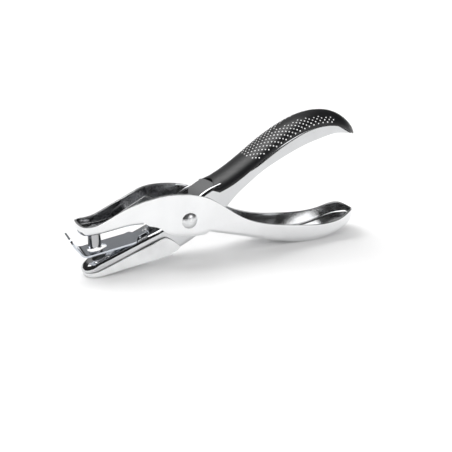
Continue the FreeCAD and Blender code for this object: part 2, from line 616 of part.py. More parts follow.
# ---------------------------------------------------------------- hook holes, the last cuts in both levers
HOOK_HOLE = "Sizes.wire_radius + 0.25"
upper_hook_hole = upright_rod("UpperHookHole", HOOK_HOLE, UPPER_HOOK_X, upper_knee.y, -1.0, 6.0)
lower_hook_hole = upright_rod("LowerHookHole", HOOK_HOLE, LOWER_HOOK_X, lower_knee.y, -7.0, 6.0)
publish("upper_jaw_lever", boolean("Cut", "UpperLever", upper_lever, upper_hook_hole))
publish("lower_jaw_lever", boolean("Cut", "LowerLever", lower_lever, lower_hook_hole))

# ---------------------------------------------------------------- check, then write one file for each piece
doc.recompute()
for item in doc.Objects:
    if "Invalid" in item.State or "Error" in item.State:
        raise RuntimeError("%s did not build: %s" % (item.Name, item.State))
for name, item in named.items():
    if item.Shape.isNull() or not item.Shape.isValid():
        raise RuntimeError(name + " has no valid shape")
    box = item.Shape.BoundBox
    print("%-18s solids %d  volume %8.1f" % (name, len(item.Shape.Solids), item.Shape.Volume), end="  ")
    print("x %.2f..%.2f  y %.2f..%.2f" % (box.XMin, box.XMax, box.YMin, box.YMax), end="  ")
    print("z %.2f..%.2f" % (box.ZMin, box.ZMax))
for name, item in named.items():
    item.Shape.exportStep("parts/%s.step" % name)
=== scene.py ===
import json
import math

import bmesh
import bpy
import numpy as np
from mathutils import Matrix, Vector


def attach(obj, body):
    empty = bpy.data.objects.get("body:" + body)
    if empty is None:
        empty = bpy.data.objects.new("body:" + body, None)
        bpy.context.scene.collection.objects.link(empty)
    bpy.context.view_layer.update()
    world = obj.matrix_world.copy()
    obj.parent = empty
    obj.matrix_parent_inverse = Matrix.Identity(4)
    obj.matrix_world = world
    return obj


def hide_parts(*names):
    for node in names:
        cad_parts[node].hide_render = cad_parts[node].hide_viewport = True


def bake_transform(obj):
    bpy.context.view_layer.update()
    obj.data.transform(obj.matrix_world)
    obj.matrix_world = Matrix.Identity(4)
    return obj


# Looks of the plier punch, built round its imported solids.
#
# Every outline below is in millimetres about the pivot: X runs towards the handles, Z is up and Y
# is along the rivet. place() turns it into metres in the model's own frame.

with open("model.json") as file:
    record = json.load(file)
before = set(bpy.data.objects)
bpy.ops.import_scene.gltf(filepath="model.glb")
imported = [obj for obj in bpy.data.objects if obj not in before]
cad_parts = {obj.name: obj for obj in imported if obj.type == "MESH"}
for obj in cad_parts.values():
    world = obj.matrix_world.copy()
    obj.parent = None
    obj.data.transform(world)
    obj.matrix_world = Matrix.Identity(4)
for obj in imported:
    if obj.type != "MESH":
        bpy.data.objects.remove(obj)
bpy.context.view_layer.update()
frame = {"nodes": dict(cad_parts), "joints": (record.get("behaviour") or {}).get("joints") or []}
scene = bpy.context.scene
JOINTS = {joint["name"]: joint for joint in frame["joints"]}
PIVOT = Vector(JOINTS["jaw_pivot"]["pos_m"])
MM = 0.001
GAUGE = 1.0                     # sheet of both levers
PLATE = 0.8                     # sheet of the stripper, and wall of the tray
SLOPE = math.radians(20.3)      # of the lower jaw's top at rest
JAW_RISE = 1.43                 # the line of the lower jaw's top passes this far above the pivot


# ---------------------------------------------------------------- curves
def smooth(points, count=400):
    """A natural cubic through the points, spaced by chord length."""
    p = np.array(points, float)
    t = np.r_[0.0, np.cumsum(np.linalg.norm(np.diff(p, axis=0), axis=1))]
    s = np.linspace(0.0, t[-1], count)
    if len(p) == 2:
        return p[0] + (p[1] - p[0]) * (s / t[-1])[:, None]
    n, h = len(t), np.diff(t)
    system, wanted = np.eye(n), np.zeros_like(p)
    for i in range(1, n - 1):
        system[i, i - 1:i + 2] = h[i - 1], 2 * (h[i - 1] + h[i]), h[i]
        wanted[i] = 6 * ((p[i + 1] - p[i]) / h[i] - (p[i] - p[i - 1]) / h[i - 1])
    bend = np.linalg.solve(system, wanted)
    k = np.clip(np.searchsorted(t, s, "right") - 1, 0, n - 2)
    width = h[k][:, None]
    a, b = (t[k + 1] - s)[:, None] / width, (s - t[k])[:, None] / width
    curved = (a ** 3 - a) * bend[k] + (b ** 3 - b) * bend[k + 1]
    return a * p[k] + b * p[k + 1] + curved * width ** 2 / 6


def chain(*runs, count=400):
    """Several runs, each smooth in itself, end to end."""
    return np.concatenate([smooth(run, count) for run in runs])


def height(*runs):
    """z as a function of x along the runs."""
    line = chain(*runs)
    order = np.argsort(line[:, 0], kind="stable")
    xs, zs = line[order, 0], line[order, 1]
    return lambda x: np.interp(x, xs, zs)


def jaw_point(station, depth=0.0):
    """A point of the lower jaw: station along its top, depth below it."""
    rise = JAW_RISE - depth
    return (station * math.cos(SLOPE) - rise * math.sin(SLOPE),
            station * math.sin(SLOPE) + rise * math.cos(SLOPE))


# ---------------------------------------------------------------- mesh helpers
def place(points):
    """Millimetres about the pivot to metres in the model's frame."""
    return [PIVOT + Vector(p) * MM for p in points]


def new_object(name, points, faces, smooth_angle=35.0):
    """A mesh object from points in millimetres, merged and with its normals made consistent."""
    mesh = bpy.data.meshes.new(name)
    mesh.from_pydata([tuple(p) for p in place(points)], [], faces)
    work = bmesh.new()
    work.from_mesh(mesh)
    bmesh.ops.remove_doubles(work, verts=work.verts, dist=2e-7)
    bmesh.ops.dissolve_degenerate(work, edges=work.edges, dist=1e-7)
    loose = [v for v in work.verts if not v.link_faces]
    bmesh.ops.delete(work, geom=loose, context="VERTS")
    bmesh.ops.recalc_face_normals(work, faces=work.faces)
    work.to_mesh(mesh)
    work.free()
    item = bpy.data.objects.new(name, mesh)
    scene.collection.objects.link(item)
    item["smooth_angle"] = smooth_angle
    return item


def finish_shading(item):
    """Smooth shading, with an edge wherever the surface turns by more than the object's own angle."""
    for polygon in item.data.polygons:
        polygon.use_smooth = True
    item.data.set_sharp_from_angle(angle=math.radians(item["smooth_angle"]))


def apply_modifiers(item):
    """Turns the modifiers into plain mesh."""
    bpy.context.view_layer.update()
    evaluated = item.evaluated_get(bpy.context.evaluated_depsgraph_get())
    mesh = bpy.data.meshes.new_from_object(evaluated)
    item.modifiers.clear()
    item.data = mesh
    finish_shading(item)
    return item


def cylinder(name, centre, axis, radius, length, sides=64):
    """A cutter: a plain cylinder about a point, along an axis."""
    axis = Vector(axis).normalized()
    across = axis.orthogonal().normalized()
    other = axis.cross(across)
    points, faces = [], []
    for end in (-0.5, 0.5):
        for k in range(sides):
            turn = 2 * math.pi * k / sides
            points.append(Vector(centre) + axis * length * end
                          + across * radius * math.cos(turn) + other * radius * math.sin(turn))
    for k in range(sides):
        following = (k + 1) % sides
        faces.append((k, following, sides + following, sides + k))
    faces += [tuple(range(sides))[::-1], tuple(range(sides, 2 * sides))]
    return new_object(name, points, faces)


def stadium(name, centre, half, radius, length, sides=32):
    """A cutter: an upright slot along X."""
    outline = []
    for middle, start in ((half, -math.pi / 2), (-half, math.pi / 2)):
        for k in range(sides + 1):
            turn = start + math.pi * k / sides
            outline.append((centre[0] + middle + radius * math.cos(turn),
                            centre[1] + radius * math.sin(turn)))
    count = len(outline)
    points = [(x, y, centre[2] + z) for z in (-length / 2, length / 2) for x, y in outline]
    faces = [(k, (k + 1) % count, count + (k + 1) % count, count + k) for k in range(count)]
    faces += [tuple(range(count))[::-1], tuple(range(count, 2 * count))]
    return new_object(name, points, faces)


def combine(item, operation, others):
    """Cuts the other pieces out of this one, or joins them to it, and removes them."""
    for other in others:
        modifier = item.modifiers.new("combine", "BOOLEAN")
        modifier.operation = operation
        modifier.solver = "EXACT"
        modifier.object = other
        apply_modifiers(item)
        bpy.data.objects.remove(other)


def cut(item, *cutters):
    combine(item, "DIFFERENCE", cutters)


def join(item, *others):
    combine(item, "UNION", others)


def block(name, low, high):
    """A box between two corners, to be joined to another piece."""
    points = [(x, y, z) for z in (low[2], high[2]) for y in (low[1], high[1]) for x in (low[0], high[0])]
    faces = [(0, 2, 3, 1), (4, 5, 7, 6), (0, 1, 5, 4), (2, 6, 7, 3), (0, 4, 6, 2), (1, 3, 7, 5)]
    return new_object(name, points, faces)


def thicken(item, thickness):
    """Gives a skin its gauge, inwards."""
    modifier = item.modifiers.new("gauge", "SOLIDIFY")
    modifier.thickness = thickness * MM
    modifier.offset = -1.0
    modifier.use_even_offset = True
    modifier.use_quality_normals = True
    return apply_modifiers(item)


SOFT_SEGMENTS, SOFT_ANGLE = 2, math.radians(50.0)


def soften(item, width):
    """Breaks the sharp edges that a press or a mould never leaves."""
    modifier = item.modifiers.new("edges", "BEVEL")
    modifier.width = width * MM
    modifier.segments = SOFT_SEGMENTS
    modifier.limit_method = "ANGLE"
    modifier.angle_limit = SOFT_ANGLE
    modifier.use_clamp_overlap = True
    return apply_modifiers(item)


# ---------------------------------------------------------------- a pressed channel
FINE_STEP, CLOSE_ENDS, NEAR_FORCED, LOOK_STEP = 0.45, 9.0, 0.3, 0.05


def plan_columns(plan, forced, coarse=1.25, close_tail=True):
    """Places along a half plan outline: close together at its ends, with some x values hit exactly.

    Also gives the direction into the outline at each place.
    """
    lengths = np.r_[0.0, np.cumsum(np.linalg.norm(np.diff(plan, axis=0), axis=1))]
    keep = np.r_[True, np.diff(lengths) > 1e-9]
    plan, lengths = plan[keep], lengths[keep]
    total = lengths[-1]
    tail = CLOSE_ENDS if close_tail else 0.0
    places = list(np.arange(0, CLOSE_ENDS, FINE_STEP)) + list(np.arange(CLOSE_ENDS, total - tail, coarse))
    places += list(np.linspace(total - tail, total, max(2, int(tail / FINE_STEP))))
    exact = [np.interp(x, plan[:, 0], lengths) for x in forced]
    places = [s for s in places if all(abs(s - e) > NEAR_FORCED for e in exact)] + exact
    places = np.array(sorted(set(round(float(s), 6) for s in places)))

    def at(where):
        return np.stack([np.interp(where, lengths, plan[:, k]) for k in (0, 1)], 1)

    columns = at(places)
    along = at(places + LOOK_STEP) - at(places - LOOK_STEP)
    along /= np.linalg.norm(along, axis=1)[:, None]
    inward = np.stack([along[:, 1], -along[:, 0]], 1)
    inward[0] = (1.0, 0.0)
    if close_tail:
        inward[-1] = (-1.0, 0.0)
    return columns, inward


WALL_ROWS, BEND_ROWS, WEB_ROWS = 8, 8, 7
SLOPE_STEP, BEND_SHARE = 0.2, 0.75


def channel(name, columns, inward, free, web, bend, rising, has_web=lambda x: True, foot=None):
    """The outside skin of a U channel. The walls run from their free edge to the web, round a bend.

    free, web, bend and foot are functions of x: the walls' free edge, the web, the reach of the
    bend, and where a wall ends if it has no web there. rising is 1 for walls above their web.
    """
    points, rows = [], []
    for (x, y), (nx, ny) in zip(columns, inward):
        gradient = (web(x + SLOPE_STEP) - web(x - SLOPE_STEP)) / (2 * SLOPE_STEP)
        slope = math.cos(math.atan(gradient))
        room = abs(free(x) - web(x))
        reach = bend(x)
        tall = min(reach, BEND_SHARE * room * slope) / slope
        webbed = has_web(x)
        end = web(x) + rising * tall if webbed else foot(x)
        column = [(x, y, free(x) + (end - free(x)) * k / WALL_ROWS) for k in range(WALL_ROWS + 1)]
        if webbed:
            for k in range(1, BEND_ROWS + 1):
                turn = math.pi / 2 * k / BEND_ROWS
                inset = reach * (1 - math.cos(turn))
                px, py = x + nx * inset, max(y + ny * inset, 0.0)
                column.append((px, py, web(px) + rising * tall * (1 - math.sin(turn))))
            px, py, _ = column[-1]
            column += [(px, py * (1 - k / WEB_ROWS), web(px)) for k in range(1, WEB_ROWS + 1)]
        rows.append((len(points), len(column)))
        points += column
    faces = []
    for (first, count), (second, other) in zip(rows, rows[1:]):
        for k in range(min(count, other) - 1):
            faces.append((first + k, second + k, second + k + 1, first + k + 1))
    mirrored = [(x, -y, z) for x, y, z in points]
    faces += [tuple(len(points) + k for k in reversed(face)) for face in faces]
    return new_object(name, points + mirrored, faces)


def orient(item, probe, outward):
    """Turns the skin so that the face nearest a probe point looks outward."""
    spot = PIVOT + Vector(probe) * MM
    face = min(item.data.polygons, key=lambda f: (f.center - spot).length)
    if face.normal.dot(Vector(outward)) < 0:
        item.data.flip_normals()


def strips(first, second, count):
    """Faces between two rows of points."""
    return [(first + k, second + k, second + k + 1, first + k + 1) for k in range(count)]


# ---------------------------------------------------------------- materials
def nodes_of(name):
    """A new material, its node tree and its shader."""
    material = bpy.data.materials.new(name)
    material.use_nodes = True
    tree = material.node_tree
    return material, tree, tree.nodes["Principled BSDF"]


def link(tree, a, b):
    tree.links.new(a, b)


def textured(tree, kind, scale, stretch=(1, 1, 1), **settings):
    """A procedural texture in object coordinates, in repeats a metre."""
    coordinates = tree.nodes.new("ShaderNodeTexCoord")
    mapping = tree.nodes.new("ShaderNodeMapping")
    mapping.inputs["Scale"].default_value = stretch
    texture = tree.nodes.new(kind)
    texture.inputs["Scale"].default_value = scale
    for key, value in settings.items():
        texture.inputs[key].default_value = value
    link(tree, coordinates.outputs["Object"], mapping.inputs["Vector"])
    link(tree, mapping.outputs["Vector"], texture.inputs["Vector"])
    return texture


def ramp(tree, source, low, high, start=0.35, end=0.65):
    """Maps a texture onto a range of greys or colours."""
    node = tree.nodes.new("ShaderNodeValToRGB")
    node.color_ramp.elements[0].position = start
    node.color_ramp.elements[1].position = end
    node.color_ramp.elements[0].color = low
    node.color_ramp.elements[1].color = high
    link(tree, source, node.inputs["Fac"])
    return node


def grey(value):
    return (value, value, value, 1.0)


def bump(tree, shader, source, strength, distance):
    """Relief from a texture; a second call takes the shader's normal over from the first."""
    node = tree.nodes.new("ShaderNodeBump")
    node.inputs["Strength"].default_value = strength
    node.inputs["Distance"].default_value = distance
    link(tree, source, node.inputs["Height"])
    link(tree, node.outputs["Normal"], shader.inputs["Normal"])
    return node


WAVE_DEPTH, GRAIN_DEPTH, SPARK_DEPTH = 0.0002, 0.00004, 0.00005


def plated(name, colour, rough, grain=(1, 1, 1), grain_strength=0.03, waves=0.10):
    """Bright plating: faint rolling waves, fine grain and a little variation in gloss and tone."""
    material, tree, shader = nodes_of(name)
    shader.inputs["Metallic"].default_value = 1.0
    tone = textured(tree, "ShaderNodeTexNoise", 60, Detail=4.0)
    dull = tuple(c * 0.93 for c in colour) + (1.0,)
    link(tree, ramp(tree, tone.outputs["Fac"], dull, tuple(colour) + (1.0,)).outputs["Color"],
         shader.inputs["Base Color"])
    gloss = textured(tree, "ShaderNodeTexNoise", 260, Detail=5.0)
    link(tree, ramp(tree, gloss.outputs["Fac"], grey(rough * 0.7), grey(rough * 1.35)).outputs["Color"],
         shader.inputs["Roughness"])
    rolled = textured(tree, "ShaderNodeTexNoise", 90, Detail=1.0)
    fine = textured(tree, "ShaderNodeTexNoise", 2600, grain, Detail=3.0)
    first = bump(tree, shader, rolled.outputs["Fac"], waves, WAVE_DEPTH)
    second = bump(tree, shader, fine.outputs["Fac"], grain_strength, GRAIN_DEPTH)
    link(tree, first.outputs["Normal"], second.inputs["Normal"])
    return material


def moulded(name, colour, rough, texture_scale, texture_depth):
    """Moulded plastic: fine spark texture, soft mottling and slightly uneven gloss."""
    material, tree, shader = nodes_of(name)
    mottle = textured(tree, "ShaderNodeTexNoise", 110, Detail=3.0)
    low = tuple(c * 0.92 for c in colour) + (1.0,)
    high = tuple(min(c * 1.05, 1.0) for c in colour) + (1.0,)
    link(tree, ramp(tree, mottle.outputs["Fac"], low, high).outputs["Color"], shader.inputs["Base Color"])
    gloss = textured(tree, "ShaderNodeTexNoise", 500, Detail=4.0)
    link(tree, ramp(tree, gloss.outputs["Fac"], grey(rough * 0.88), grey(rough * 1.12)).outputs["Color"],
         shader.inputs["Roughness"])
    spark = textured(tree, "ShaderNodeTexNoise", texture_scale, Detail=2.0)
    bump(tree, shader, spark.outputs["Fac"], texture_depth, SPARK_DEPTH)
    return material


LEVER = plated("bright_plate", (0.84, 0.845, 0.852), 0.13, grain_strength=0.01, waves=0.012)
# Painted dark reflections: a darker copy of the bright plating, for the inside of the upper jaw.
TROUGH = plated("jaw_inside_painted_dark_reflection", (0.42, 0.425, 0.435), 0.24, waves=0.02)
# Painted shade: the same plating as the upper lever, given a darker colour so the lower lever looks shaded.
LOWER = plated("lower_plate_painted_shade", (0.62, 0.625, 0.635), 0.10, grain_strength=0.02, waves=0.06)
RIVET = plated("rivet_plate", (0.80, 0.805, 0.815), 0.30)
PIN = plated("ground_pin", (0.46, 0.46, 0.47), 0.10, grain=(1, 1, 8), grain_strength=0.06)
STRIPPER = plated("stripper_steel", (0.60, 0.63, 0.68), 0.14, grain=(6, 1, 1), grain_strength=0.05)
TURNED = plated("turned_steel", (0.55, 0.55, 0.56), 0.30, grain=(1, 14, 1), grain_strength=0.12)
WIRE = plated("spring_wire", (0.42, 0.42, 0.43), 0.28, grain=(1, 1, 5), grain_strength=0.08)
GRIP = moulded("grip_black", (0.009, 0.009, 0.010), 0.36, 5200, 0.22)
# Painted highlights: the raised dots get a near-white colour that stands in for the glints they catch.
DOT = moulded("grip_dot", (0.86, 0.86, 0.87), 0.30, 5200, 0.05)
TRAY = moulded("tray_grey", (0.76, 0.765, 0.77), 0.36, 3800, 0.12)


def dress(item, material, body=None, replaces=()):
    """Paints a piece, attaches it to the body it rides on and hides the solids it stands for."""
    item.data.materials.clear()
    item.data.materials.append(material)
    if body:
        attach(item, body)
    if replaces:
        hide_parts(*replaces)


def repaint(node, material):
    """A CAD node keeps its shape and gets a better material."""
    for entry in frame["nodes"][node].material_slots:
        entry.material = material


# ---------------------------------------------------------------- holes shared by several pieces
ACROSS = (0, 1, 0)
SQUARE = (-math.sin(SLOPE), 0, math.cos(SLOPE))     # square to the lower jaw's top
CUTTER = 30                                         # long enough to pass through everything
RIVET_RADIUS, RIVET_HOLE = 2.5, 2.56
TRAY_HINGE = (-9.6, 0, -9.6)
BOSS_RADIUS, BOSS_HOLE = 1.2, 1.26
HOOK_RADIUS = 0.7
FEW, SOME = 24, 32                                  # sides of the smaller round pieces
EDGE = 0.16                                         # rounding of the levers' sheared edges

# ---------------------------------------------------------------- outer lever: upper jaw and lower handle
NOSE, TAIL, HALF, HANDLE_HALF = -49.2, 90.5, 8.8, 10.0
JAW_WEB_END, HANDLE_WEB_START = -21.0, 10.2
OUTER_BEND, OUTER_NOSE_BEND = 1.75, 2.6
RIM = [(NOSE, 4.3), (-47.6, 3.8), (-45.0, 3.5), (-42.0, 3.65), (-38.0, 4.8), (-33.0, 7.0), (-28.0, 9.15),
       (-23.0, 11.0), (-18.0, 12.5), (-12.0, 13.4), (-6.0, 13.2), (-1.0, 12.5), (9.0, 9.2), (17.8, 3.2),
       (29.0, -4.5), (34.5, -6.9), (41.8, -9.1), (50.0, -10.7), (58.3, -12.0), (66.0, -12.9), (72.0, -13.0),
       (78.0, -12.2), (83.5, -10.4), (87.0, -9.8), (TAIL, -11.2)]
JAW_WEB = [(NOSE, -1.05), (-46.6, -0.95), (-41.0, -0.7), (-35.0, -0.1), (-27.0, 0.8), (JAW_WEB_END, 1.0)]
EAR = [(JAW_WEB_END, 1.0 + OUTER_BEND), (-19.6, 0.9), (-15.6, -0.5), (-10.9, -4.0), (-6.2, -6.2),
       (-1.2, -7.4), (3.7, -7.8), (8.6, -7.4), (HANDLE_WEB_START, -7.5 + OUTER_BEND)]
HANDLE_WEB = [(HANDLE_WEB_START, -7.5), (24.0, -11.8), (38.8, -16.4), (52.0, -20.0), (62.0, -21.0),
              (71.0, -20.3), (79.0, -18.2), (86.0, -15.7), (TAIL, -14.2)]

PARALLEL_START, PARALLEL_END = -15.0, 24.0
front = [(NOSE, 0), (NOSE + 0.4, 3.5), (-47.2, 5.9), (-45.0, 6.6), (-41.0, 6.6), (-34.0, 6.5),
         (-27.0, 6.65), (-23.0, 7.2), (-19.5, 7.95), (-17.0, 8.6), (PARALLEL_START, HALF)]
handle = [(PARALLEL_END, HALF), (34.0, HANDLE_HALF - 1.3), (46.0, HANDLE_HALF - 1.25),
          (54.0, HANDLE_HALF - 0.85), (62.0, HANDLE_HALF - 0.25), (68.0, HANDLE_HALF),
          (75.0, HANDLE_HALF), (79.5, HANDLE_HALF - 0.3), (83.0, HANDLE_HALF - 1.3),
          (86.0, HANDLE_HALF - 3.0), (88.4, HANDLE_HALF - 5.2), (TAIL - 0.4, 2.4), (TAIL, 0)]
plan = chain(front, [(PARALLEL_START, HALF), (PARALLEL_END, HALF)], handle)
columns, inward = plan_columns(plan, [JAW_WEB_END, HANDLE_WEB_START])
outer_web = height(JAW_WEB, [(JAW_WEB_END, 1.0), (HANDLE_WEB_START, -7.5)], HANDLE_WEB)
rim_height = height(RIM)


def outer_bend(x):
    return np.interp(x, (-47.0, -40.0), (OUTER_NOSE_BEND, OUTER_BEND))


def outer_webbed(x):
    """The walls have no web between them where the other lever passes through."""
    return x <= JAW_WEB_END + 1e-3 or x >= HANDLE_WEB_START - 1e-3


upper_lever = channel("upper_lever_shell", columns, inward, rim_height, outer_web, outer_bend, 1,
                      outer_webbed, height(EAR))
orient(upper_lever, (0, -HALF, 3), (0, -1, 0))
thicken(upper_lever, GAUGE)
cut(upper_lever, cylinder("rivet_cut", (0, 0, 0), ACROSS, RIVET_RADIUS, CUTTER),
    cylinder("hook_cut", (-30.2, 2.43, 2.0), (0, 0, 1), HOOK_RADIUS, 6, FEW))
soften(upper_lever, EDGE)
dress(upper_lever, LEVER, "upper_lever", ["upper_jaw_lever"])

# Painted dark reflections: inside the jaw the plating is given a darker colour and a duller finish,
# standing in for the dark reflections there.
TROUGH_END, RIM_DEPTH, TURNED_IN = 0.0, 0.35, 0.3
upper_lever.data.materials.append(TROUGH)
for face in upper_lever.data.polygons:
    centre, normal = (face.center - PIVOT) / MM, face.normal
    from_wall = centre.y * normal.y < 0 and abs(normal.y) > TURNED_IN
    looks_in = from_wall or normal.z > TURNED_IN or normal.x > TURNED_IN
    if centre.x < TROUGH_END and centre.z < rim_height(centre.x) - RIM_DEPTH and looks_in:
        face.material_index = 1

# ---------------------------------------------------------------- inner lever: lower jaw and upper handle
INNER_NOSE, INNER_TAIL, INNER_HALF, INNER_HANDLE_HALF = -48.0, 87.2, 7.4, 8.2
INNER_BEND, INNER_NOSE_BEND, COVERED_BEND = 1.6, 3.0, 4.6
FLAT_START, FLAT_END = -46.6, -15.2
JAW_NOSE = [(INNER_NOSE, jaw_point(-50.4, 0.4)[1] - 0.25), jaw_point(-50.4, 0.4), jaw_point(-48.6, 0.1),
            jaw_point(FLAT_START)]
NECK_TOP = [jaw_point(FLAT_END), (-12.6, -2.95), (-8.0, 0.3), (-1.0, 5.4), (6.4, 10.5), (10.7, 12.8),
            (14.0, 13.9), (18.0, 15.2), (26.2, 19.6), (38.5, 27.6), (51.1, 34.6), (57.4, 37.2),
            (63.8, 38.8), (70.4, 39.0), (76.5, 37.8), (81.5, 35.0), (85.2, 31.4), (INNER_TAIL, 28.9)]
UPPER_EDGE = [(-4.5, -12.4), (4.0, -8.0), (11.0, -2.6), (18.7, 3.4), (23.5, 8.4), (28.9, 12.8),
              (34.9, 17.2), (47.2, 23.5), (59.7, 28.3), (66.0, 29.9), (74.5, 31.1), (81.0, 30.0),
              (INNER_TAIL, 28.4)]
LOWER_EDGE = [(INNER_NOSE, -18.7), (-4.5, -12.4)]
front = [(INNER_NOSE, 0), (INNER_NOSE + 0.7, 3.0), (-45.0, 4.9), (-41.0, 5.7), (-30.0, 6.15), (-14.0, 6.8),
         (-5.0, INNER_HALF)]
handle = [(20.0, INNER_HALF), (30.0, INNER_HANDLE_HALF - 0.2), (45.0, INNER_HANDLE_HALF),
          (60.0, INNER_HANDLE_HALF), (73.0, INNER_HANDLE_HALF - 0.5), (81.0, INNER_HANDLE_HALF - 2.6),
          (INNER_TAIL - 0.6, 2.2), (INNER_TAIL, 0)]
plan = chain(front, [(-5.0, INNER_HALF), (20.0, INNER_HALF)], handle)
columns, inward = plan_columns(plan, [])
inner_web = height(JAW_NOSE, [jaw_point(FLAT_START), jaw_point(FLAT_END)], NECK_TOP)


def inner_bend(x):
    """Wide round the nose, and under the cover, where the corners have to stay inside it."""
    return np.interp(x, (-46.5, -41.0, 20.0, 34.0, 70.0, 78.0),
                     (INNER_NOSE_BEND, INNER_BEND, INNER_BEND, COVERED_BEND, COVERED_BEND, INNER_BEND))


lower_lever = channel("lower_lever_shell", columns, inward, height(LOWER_EDGE, UPPER_EDGE), inner_web,
                      inner_bend, -1)
orient(lower_lever, (0, -INNER_HALF, 0), (0, -1, 0))
thicken(lower_lever, GAUGE)
die_x, die_z = jaw_point(-42.05)
cut(lower_lever, cylinder("rivet_cut", (0, 0, 0), ACROSS, RIVET_HOLE, CUTTER),
    cylinder("boss_cut", TRAY_HINGE, ACROSS, BOSS_HOLE, CUTTER, SOME),
    cylinder("die_cut", (die_x, 0, die_z), SQUARE, 3.35, 6),
    cylinder("hook_cut", (-12.7, -2.28, -4.0), (0, 0, 1), HOOK_RADIUS, 6, FEW),
    stadium("window_cut", (-4.25, 0, 4.5), 2.55, 4.2, 14))
soften(lower_lever, EDGE)
dress(lower_lever, LOWER, "lower_lever", ["lower_jaw_lever"])

# ---------------------------------------------------------------- black cover with its raised dots
# Each section is x, the crown's height, half the width and the rise from lower edge to crown.
SECTIONS = [(14.2, 15.0, 8.45, 4.3), (20.1, 17.9, 8.75, 4.8), (26.2, 21.4, 8.75, 4.9),
            (32.3, 25.4, 8.75, 4.8), (38.5, 29.6, 8.75, 4.7), (44.8, 33.5, 8.75, 4.9),
            (51.1, 36.8, 8.75, 5.2), (57.4, 39.3, 8.75, 5.4), (63.8, 40.8, 8.75, 5.6),
            (70.4, 41.0, 8.75, 5.7), (76.5, 39.8, 8.2, 5.7), (81.5, 37.1, 7.1, 5.5),
            (85.2, 33.8, 5.3, 4.4), (87.3, 31.0, 3.3, 2.6), (88.5, 28.9, 1.2, 1.0)]
AROUND, FRONT_REACH, GRIP_WALL = 36, 2.7, 0.5
FRONT_DROP, FRONT_NARROWING, FRONT_FLATTENING = 1.3, 0.1, 2.9
section_line = smooth(SECTIONS, 240)


def section(x):
    """Crown height, half width and rise of the cover."""
    return [np.interp(x, section_line[:, 0], section_line[:, k]) for k in (1, 2, 3)]


def arch_point(x, turn, crown, half, rise):
    return Vector((x, -half * math.cos(turn), crown - rise + rise * math.sin(turn)))


def grip_point(x, turn):
    """A point of the cover: turn is 0 at its near lower edge, pi at the far one."""
    return arch_point(x, turn, *section(x))


def grip_normal(x, turn):
    """The way out of the cover."""
    along = grip_point(x + 0.1, turn) - grip_point(x - 0.1, turn)
    around = grip_point(x, turn + 0.01) - grip_point(x, turn - 0.01)
    normal = along.cross(around).normalized()
    sideways = Vector((0, math.copysign(1, -math.cos(turn)), 0))
    return normal if normal.z > 0 or normal.dot(sideways) > 0 else -normal


def grip_front(turn):
    """The cover reaches further forward at its sides than at its crown."""
    start, crown, half, rise = SECTIONS[0]
    share = abs(math.cos(turn)) ** 1.5
    return arch_point(start - FRONT_REACH * share, turn, crown - FRONT_DROP * share,
                      half - FRONT_NARROWING * share, rise - FRONT_FLATTENING * share)


points, faces = [], []
turns = [math.pi * k / AROUND for k in range(AROUND + 1)]
for index, (x, _, _, _) in enumerate(section_line[::2]):
    points += [grip_point(x, turn) if index else grip_front(turn) for turn in turns]
    if index:
        faces += strips((index - 1) * (AROUND + 1), index * (AROUND + 1), AROUND)
last = len(points) - AROUND - 1
points.append(grip_point(SECTIONS[-1][0], math.pi / 2) + Vector((0.0, 0, -0.5)))
faces += [(last + k, len(points) - 1, last + k + 1) for k in range(AROUND)]
grip = new_object("grip_cover", points, faces)
orient(grip, (50, 0, 40), (0, 0, 1))
thicken(grip, GRIP_WALL)
soften(grip, 0.14)
dress(grip, GRIP, "lower_lever", ["handle_grip"])

# The dotted area runs between two limits, in degrees up from the cover's lower edges, along x. The dots'
# near-white colour is a painted highlight, so the limits follow the band where the dots catch the light.
DOTS_LOW = [(31.0, 70), (32.6, 32), (36.0, 23), (39.7, 18), (43.5, 12), (49.7, 7), (61.0, 6), (68.0, 7),
            (71.2, 12), (74.0, 34)]
DOTS_HIGH = [(31.0, 90), (45.0, 90), (46.5, 84), (52.8, 72), (60.8, 58), (66.8, 50), (71.7, 41), (74.0, 34)]
DOTS_START, DOTS_END = 31.0, 74.0
DOT_STEP, DOT_ROW, DOT_RADIUS, DOT_RISE, DOT_SIDES = 1.2, 2.4, 0.37, 0.2, 8
DOT_RINGS = ((1.0, -0.15), (0.82, 0.45), (0.45, 0.88))      # share of the radius, share of the rise


def limit(x, limits):
    return np.interp(x, [p[0] for p in limits], [p[1] for p in limits])


def add_dot(points, faces, centre, normal):
    """A low dome on the cover, closed underneath."""
    across = normal.orthogonal().normalized()
    other = normal.cross(across)
    base = len(points)
    for ring, (reach, lift) in enumerate(DOT_RINGS):
        for step in range(DOT_SIDES):
            angle = 2 * math.pi * step / DOT_SIDES
            way = across * math.cos(angle) + other * math.sin(angle)
            points.append(centre + way * DOT_RADIUS * reach + normal * DOT_RISE * lift)
        if ring:
            a, b = base + (ring - 1) * DOT_SIDES, base + ring * DOT_SIDES
            for step in range(DOT_SIDES):
                following = (step + 1) % DOT_SIDES
                faces.append((a + step, a + following, b + following, b + step))
    points.append(centre + normal * DOT_RISE)
    top = base + (len(DOT_RINGS) - 1) * DOT_SIDES
    faces += [(top + step, top + (step + 1) % DOT_SIDES, len(points) - 1) for step in range(DOT_SIDES)]
    faces.append(tuple(base + step for step in reversed(range(DOT_SIDES))))


